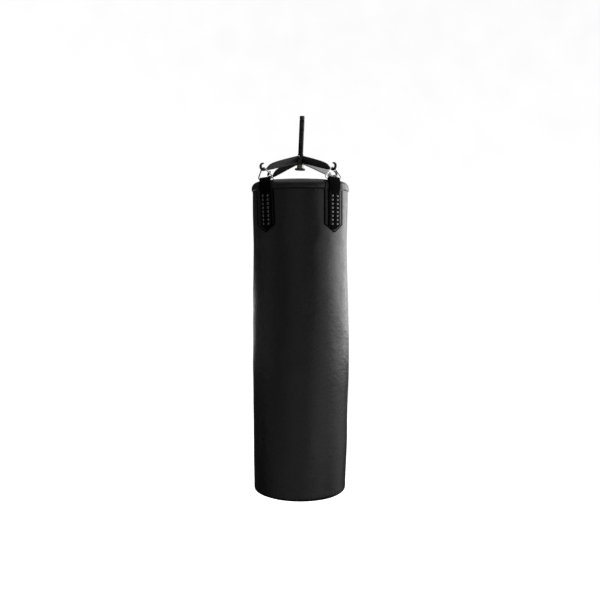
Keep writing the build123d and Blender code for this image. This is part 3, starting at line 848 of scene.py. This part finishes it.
def make_patch(corner, angle):
    """Pointed leather patch that hugs the hem and the wall."""
    path = skin_path(0.15, PATCH_TOP_ANGLE, PATCH_TIP + 0.5, 3.0)
    path = [point for point in path if point[1] > PATCH_SHOULDER + 1 or point[1] < PATCH_SHOULDER - 1]
    path.append((WALL_RADIUS + 0.15, PATCH_SHOULDER))
    path.sort(key=lambda point: -point[1])
    columns = 33
    points = []
    for radius, height in path:
        half = half_width_at(height, PATCH_HALF_WIDTH, PATCH_SHOULDER, PATCH_TIP)
        for column in range(columns):
            across = half * (2 * column / (columns - 1) - 1)
            points.append(on_patch(corner, angle, radius, across, height))
    patch = make_object(f"patch_leather_{corner}", points, grid_faces(len(path), columns))
    face_outwards(patch)
    if sum(face.normal.dot(outwards_at(angle)) for face in patch.data.polygons) < 0:
        patch.data.flip_normals()
    thicken(patch, LEATHER - 0.3, 1.0, 0.5)
    finish_piece(patch, "bag", "trim_leather", TRIM_LEATHER, f"patch_{corner}")


def make_patch_piping(corner, angle):
    """Dark piping round the free edge of a patch."""
    points = []
    faces = []
    edge = [
        on_patch(corner, angle, WALL_RADIUS + PIPING_RADIUS, across, height)
        for across, height in patch_outline(-0.2, 3.0)
    ]
    add_tube(points, faces, edge, PIPING_RADIUS, 8)
    piping = make_object(f"patch_piping_{corner}", points, faces)
    finish_piece(piping, "bag", "trim_leather", STRAP_LEATHER)


def make_patch_stitches(corner, angle):
    """Row of stitches inside the free edge of a patch."""
    points = []
    faces = []
    row = patch_outline(5.0, 6.0)
    surface = WALL_RADIUS + LEATHER
    for (u0, h0), (u1, h1) in zip(row, row[1:]):
        u2 = u0 + 0.7 * (u1 - u0)
        h2 = h0 + 0.7 * (h1 - h0)
        start = on_patch(corner, angle, surface, u0, h0)
        end = on_patch(corner, angle, surface, u2, h2)
        add_stitch(points, faces, start, end, outwards_at(angle))
    stitches = make_object(f"patch_stitches_{corner}", points, faces)
    finish_piece(stitches, "bag", "trim_leather", THREAD)


def strap_path():
    """Centre line of the strap's leather and how far it is curved round the bag, point by point."""
    inner_lift = LEATHER + PLY / 2 + 0.05
    outer_lift = inner_lift + PLY + PLY_GAP
    leave_outer = 15.0
    leave_inner = 39.0
    outer = skin_path(outer_lift, leave_outer, STRAP_TIP + 0.5, 2.5)
    inner = skin_path(inner_lift, leave_inner, STRAP_TIP + 12, 2.5)
    loop = []
    for turn in np.radians(np.linspace(leave_outer, leave_inner + 180, 22)):
        radius = RING_BAR_RADIUS + LOOP_RADIUS * math.cos(turn)
        loop.append((radius, RING_BAR_HEIGHT + LOOP_RADIUS * math.sin(turn)))
    path = [(point, curve_of(point)) for point in reversed(outer)]
    path += spaced_between(outer[0], loop[0], 5)
    path += [(point, 0.0) for point in loop]
    path += spaced_between(loop[-1], inner[0], 3)
    path += [(point, curve_of(point)) for point in inner]
    return path


def curve_of(point):
    """1 on the wall, falling to 0 at the ring's bar."""
    return ease((RING_BAR_HEIGHT - 4 - point[1]) / 26)


def spaced_between(first, last, count):
    """Points of a straight stretch of strap, without its ends."""
    result = []
    for i in range(1, count):
        share = i / count
        point = (first[0] + (last[0] - first[0]) * share, first[1] + (last[1] - first[1]) * share)
        result.append((point, curve_of(point)))
    return result


def rivet_places():
    """Across and height of one strap's rivets, with the heights from the frame's rivets."""
    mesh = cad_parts["rivets_front_right"].data
    heights = np.array([vertex.co.z for vertex in mesh.vertices])
    top = height_in_bag(heights.max()) - RIVET_RADIUS
    bottom = height_in_bag(heights.min()) + RIVET_RADIUS
    rows = np.linspace(top, bottom, RIVET_ROWS)
    return [(across, height) for across in (-RIVET_ACROSS, RIVET_ACROSS) for height in rows]


def strap_dip(across, height, rivets):
    """How far a strap's surface lies below its path: round rivets, at its edges and in its pleats."""
    dip = 0.0
    if height < -HEM_DEPTH:
        nearest = min(math.hypot(across - u, height - h) for u, h in rivets)
        dip = 0.45 * math.exp(-((nearest / (1.25 * RIVET_RADIUS)) ** 2))
    edge = abs(across) / STRAP_HALF_WIDTH
    over_roll = math.exp(-(((height + 16) / 15) ** 2))
    pleat = math.sin(0.62 * across + 1.3) + 0.6 * math.sin(1.13 * across - 0.05 * height)
    return dip + 0.25 * edge**6 + 0.55 * over_roll * pleat * (1 - edge**4)


def make_strap(corner, angle):
    """Strap folded round the ring's bar: two plies with pressed hollows round the rivets."""
    columns = 28
    rivets = rivet_places()
    path = strap_path()
    points = []
    for (radius, height), curve in path:
        half = half_width_at(height, STRAP_HALF_WIDTH, STRAP_SHOULDER, STRAP_TIP)
        for column in range(columns):
            across = half * (2 * column / (columns - 1) - 1)
            lowered = radius - strap_dip(across, height, rivets)
            points.append(on_strap_line(corner, angle, lowered, across, height, curve))
    strap = make_object(f"strap_leather_{corner}", points, grid_faces(len(path), columns))
    thicken(strap, PLY, 0.0, 0.45)
    face_outwards(strap)
    finish_piece(strap, "bag", "strap_leather", STRAP_LEATHER, f"strap_{corner}")


def make_strap_stitches(corner, angle):
    """Stitches down both edges of a strap."""
    points = []
    faces = []
    surface = WALL_RADIUS + LEATHER + 2 * PLY + 0.2
    count = int((STRAP_SHOULDER + HEM_DEPTH + 10) / -STRAP_STITCH)
    for side in (-1, 1):
        across = side * (STRAP_HALF_WIDTH - 3.0)
        for i in range(count):
            height = -HEM_DEPTH - 8 - STRAP_STITCH * i
            start = on_strap_line(corner, angle, surface, across, height)
            end = on_strap_line(corner, angle, surface, across, height - 0.68 * STRAP_STITCH)
            add_stitch(points, faces, start, end, outwards_at(angle), 0.4)
    stitches = make_object(f"strap_stitches_{corner}", points, faces)
    finish_piece(stitches, "bag", "strap_leather", THREAD)


# ---- spreader ---------------------------------------------------------------------------------------
def arm_sections():
    """Top point, bottom point, half thickness and corner radius of sections along an arm and its hook."""
    sections = [
        (11.5, 101.8, 11.5, 72.2, 4.0, 1.3),
        (25, 98.2, 25, 68.8, 4.0, 1.3),
        (62, 88.0, 62, 60.2, 4.0, 1.3),
        (110, 73.7, 110, 47.4, 4.0, 1.4),
        (134, 64.8, 132, 41.8, 4.0, 1.7),
        (146, 59.0, 143, 38.9, 4.0, 2.2),
        (155, 52.0, 151.5, 36.8, 4.0, 2.8),
        (161.5, 45.4, 158.5, 35.2, 3.9, 3.4),
        (167.5, 41.6, 165.5, 33.8, 3.75, 3.6),
    ]
    for angle in np.linspace(HOOK_START, HOOK_END, 24):
        thinner = max(0.0, (angle - HOOK_THIN_START) / (HOOK_END - HOOK_THIN_START))
        bar = HOOK_BAR - HOOK_TIP_THINNER * thinner
        inside = hook_point(HOOK_RADIUS - bar, angle)
        outside = hook_point(HOOK_RADIUS + bar + HOOK_SWELL * (1 - thinner), angle)
        sections.append((*inside, *outside, bar + HOOK_SWELL / 2, bar))
    return smooth_steps(sections, 3) + hook_tip()


def hook_point(distance, angle):
    turn = math.radians(angle)
    return (HOOK_CENTRE[0] + distance * math.cos(turn), HOOK_CENTRE[1] + distance * math.sin(turn))


def hook_tip():
    """Rounded end of the hook."""
    sections = []
    bar = HOOK_BAR - HOOK_TIP_THINNER
    for share in np.linspace(0.05, 1.0, 9):
        angle = HOOK_END + share * math.degrees(bar * 1.25 / HOOK_RADIUS)
        size = bar * math.sqrt(max(0.004, 1 - share**2))
        inside = hook_point(HOOK_RADIUS - size, angle)
        outside = hook_point(HOOK_RADIUS + size, angle)
        sections.append(np.array((*inside, *outside, size, size)))
    return sections


def rounded_section(half_height, half_width, corner):
    """Points round a rectangle with rounded corners, as shares up and across."""
    corner = min(corner, half_height, half_width)
    outline = []
    for start, (up, across) in zip((0, 90, 180, 270), ((1, 1), (-1, 1), (-1, -1), (1, -1))):
        for step in range(6):
            turn = math.radians(start + 18 * step)
            outline.append((
                up * (half_height - corner) + corner * math.cos(turn),
                across * (half_width - corner) + corner * math.sin(turn),
            ))
    return outline


def make_arm(corner, angle):
    """Forged arm: a flat bar that draws down into a round hook."""
    sections = arm_sections()
    points = []
    for top_radius, top_height, low_radius, low_height, half_width, corner_radius in sections:
        middle = ((top_radius + low_radius) / 2, (top_height + low_height) / 2)
        rise = ((top_radius - low_radius) / 2, (top_height - low_height) / 2)
        half_height = math.hypot(*rise)
        unit = (rise[0] / half_height, rise[1] / half_height)
        for up, across in rounded_section(half_height, half_width, corner_radius):
            points.append(at_corner(angle, middle[0] + unit[0] * up, across, middle[1] + unit[1] * up))
    sides = len(points) // len(sections)
    faces = grid_faces(len(sections), sides, False, True)
    faces.append(tuple(reversed(range(sides))))
    faces.append(tuple(range(len(points) - sides, len(points))))
    arm = make_object(f"forged_arm_{corner}", points, faces)
    face_outwards(arm)
    arm.data.set_sharp_from_angle(angle=math.radians(42))
    # painted highlight: one arm gets the lighter, glossier copy of the same paint
    paint = HIGHLIT_ARM_PAINT if corner == HIGHLIT_ARM else SPREADER_PAINT
    finish_piece(arm, "spreader", "spreader_paint", paint, f"arm_{corner}")


def make_welds():
    """Weld beads where the arms meet the hub."""
    points = []
    faces = []
    low = 73.0
    length = 28.0
    steps = 60
    for angle in CORNERS.values():
        for side in (-1, 1):
            path = []
            radii = []
            for i in range(steps):
                height = low + length * i / (steps - 1)
                wobble = 0.25 * math.sin(i * 1.25 + side) + RANDOM.uniform(-0.12, 0.12)
                across = side * (4.1 + 0.2 * wobble)
                path.append(at_corner(angle, HUB_RADIUS - 0.4 + wobble * 0.4, across, height))
                radii.append(1.9 + 0.3 * math.sin(i * 1.25) + RANDOM.uniform(-0.1, 0.1))
            add_tube(points, faces, path, radii, 10)
    welds = make_object("hub_welds", points, faces)
    finish_piece(welds, "spreader", "spreader_paint", SPREADER_PAINT)


# ---- CAD nodes that stay ----------------------------------------------------------------------------
CARRIED = {
    "hanging_rod": ROD_PAINT,
    "end_flange": ROD_PAINT,
    "flange_pin": BEARING_STEEL,
    "seat_liner": LINER_PLASTIC,
    "bearing_lower_race": BEARING_STEEL,
    "bearing_upper_race": BEARING_STEEL,
    "bearing_cage": BEARING_BRASS,
    "bearing_balls": BEARING_STEEL,
    "hub_tube": SPREADER_PAINT,
    "rim_wire": BEARING_STEEL,
    "foam_liner": FOAM,
    "filling": FILLING,
    "zip_tape": ZIP_FABRIC,
    "zip_slider": ZIP_METAL,
    "zip_puller": ZIP_METAL,
    **{f"ring_{corner}": RING_CHROME for corner in CORNERS},
    **{f"rivets_{corner}": RIVET_CHROME for corner in CORNERS},
}


def dress_carried_nodes():
    for name, material in CARRIED.items():
        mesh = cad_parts[name].data
        mesh.materials.clear()
        mesh.materials.append(material)


# ---- stage, lights and camera -----------------------------------------------------------------------
def stage_material():
    """Pale paper that also glows a little, so it stays near white without lighting the bag."""
    nodes = Nodes("floor_white")
    paper = nodes.ramp(nodes.noise(3, 3), [(0.2, 0.9), (0.8, 0.94)])
    nodes.put("Base Color", paper)
    nodes.put("Emission Color", paper)
    nodes.put("Emission Strength", 1.02)
    nodes.put("Roughness", 0.9)
    return nodes.material


def make_stage():
    """Round pale floor that curves up into a backdrop all the way round."""
    floor = BAG_BOTTOM - FLOOR_DROP
    profile = [(1.0, floor)]
    for turn in np.radians(np.linspace(0, 90, 16)):
        radius = STAGE_REACH - STAGE_BEND * (1 - math.sin(turn))
        profile.append((radius, floor + STAGE_BEND * (1 - math.cos(turn))))
    profile.append((STAGE_REACH, floor + STAGE_WALL))
    columns = 96
    points = []
    for radius, height in profile:
        points += [at(radius, 360 * column / columns, height) for column in range(columns)]
    sweep = make_object("floor", points, grid_faces(len(profile), columns, False, True))
    sweep.data.materials.append(stage_material())
    sweep.visible_glossy = False
    sweep.visible_diffuse = False


def add_panel(name, place, target, size, radiance):
    """Soft box of a given brightness that the camera doesn't see."""
    data = bpy.data.lights.new(name, "AREA")
    data.shape = "RECTANGLE"
    data.size, data.size_y = size
    data.energy = radiance * math.pi * size[0] * size[1]
    light = bpy.data.objects.new(name, data)
    bpy.context.scene.collection.objects.link(light)
    light.location = place
    direction = Vector(target) - Vector(place)
    light.rotation_euler = direction.to_track_quat("-Z", "Y").to_euler()
    light.visible_camera = False


def add_side_panel(name, turn, distance, bottom, top, width, radiance):
    """Upright soft box, turned round the bag from the camera's side, heights from the bag's top."""
    angle = math.radians(CAMERA_TURN - 90 + turn)
    height = TOP_Z + (bottom + top) / 2
    place = (AXIS_X + distance * math.cos(angle), AXIS_Y + distance * math.sin(angle), height)
    add_panel(name, place, (AXIS_X, AXIS_Y, height), (width, top - bottom), radiance)


def make_lights():
    """Soft boxes round, over and under the bag: turn, distance, bottom, top, width and radiance."""
    add_side_panel("key_right", 110, 2.0, -0.8, 1.1, 2.5, 3.2)
    add_side_panel("key_edge", 58, 2.6, -0.8, 1.1, 1.4, 0.7)
    add_side_panel("limb_right", 150, 2.4, -0.8, 1.1, 1.2, 1.5)
    add_side_panel("low_right", 100, 2.3, -2.2, -0.75, 2.6, 0.5)
    add_side_panel("low_front", 46, 2.9, -2.4, -0.75, 2.4, 0.58)
    add_side_panel("high_left", -97, 2.5, 0.25, 1.2, 1.6, 0.32)
    add_side_panel("rim_left", -150, 2.5, -0.85, -0.45, 0.9, 1.3)
    add_side_panel("band_left", -95, 2.8, -0.95, -0.6, 3.0, 0.4)
    add_side_panel("fill_front", -8, 4.6, -2.4, 1.6, 4.0, 0.23)
    add_side_panel("fill_left", -65, 3.6, -2.4, 1.2, 3.4, 0.11)
    add_side_panel("fill_back", 180, 4.2, -2.4, 0.6, 2.6, 0.7)
    nudge = 0.001               # off straight up, so that the panel's turn is well defined
    above = (AXIS_X, AXIS_Y + 0.2, TOP_Z + 2.4)
    add_panel("ceiling", above, (AXIS_X, AXIS_Y + 0.2 + nudge, TOP_Z), (4.0, 5.0), 0.9)
    below = (AXIS_X, AXIS_Y - 1.9, BASE_LOW.z - 0.43)
    add_panel("floor_bounce", below, (AXIS_X, AXIS_Y - 1.9 - nudge, TOP_Z), (3.5, 2.6), 0.25)


def make_world():
    world = bpy.data.worlds.new("studio")
    bpy.context.scene.world = world
    world.use_nodes = True
    background = world.node_tree.nodes["Background"]
    background.inputs["Color"].default_value = (1, 1, 1, 1)
    background.inputs["Strength"].default_value = 0.02


def make_camera():
    """Long lens about 30 cm below the bag's top, tipped down a little."""
    turn = math.radians(CAMERA_TURN)
    data = bpy.data.cameras.new("camera")
    data.lens = CAMERA_LENS
    data.sensor_width = CAMERA_SENSOR
    camera = bpy.data.objects.new("camera", data)
    bpy.context.scene.collection.objects.link(camera)
    camera.location = (
        AXIS_X + CAMERA_DISTANCE * math.sin(turn),
        AXIS_Y - CAMERA_DISTANCE * math.cos(turn),
        TOP_Z - CAMERA_DROP,
    )
    camera.rotation_euler = (math.radians(90 - CAMERA_TIP), 0, math.radians(CAMERA_TURN + CAMERA_YAW))
    bpy.context.scene.camera = camera


def make_all():
    make_camera()
    make_wall()
    make_hem()
    make_bag_stitches()
    make_disc("lid_leather", LID_RADIUS - 0.5, LID_TOP - 1.5, 2.8, 0.0, "lid_panel")
    make_disc("base_leather", width_of("base_panel") / 2, BAG_BOTTOM + 1.4, 2.5, -1.5, "base_panel")
    make_base_welt()
    make_zip_teeth()
    for corner, angle in CORNERS.items():
        make_patch(corner, angle)
        make_patch_piping(corner, angle)
        make_patch_stitches(corner, angle)
        make_strap(corner, angle)
        make_strap_stitches(corner, angle)
        make_arm(corner, angle)
    make_welds()
    dress_carried_nodes()
    make_stage()
    make_lights()
    make_world()
    bpy.context.scene.view_settings.view_transform = "Standard"


make_all()
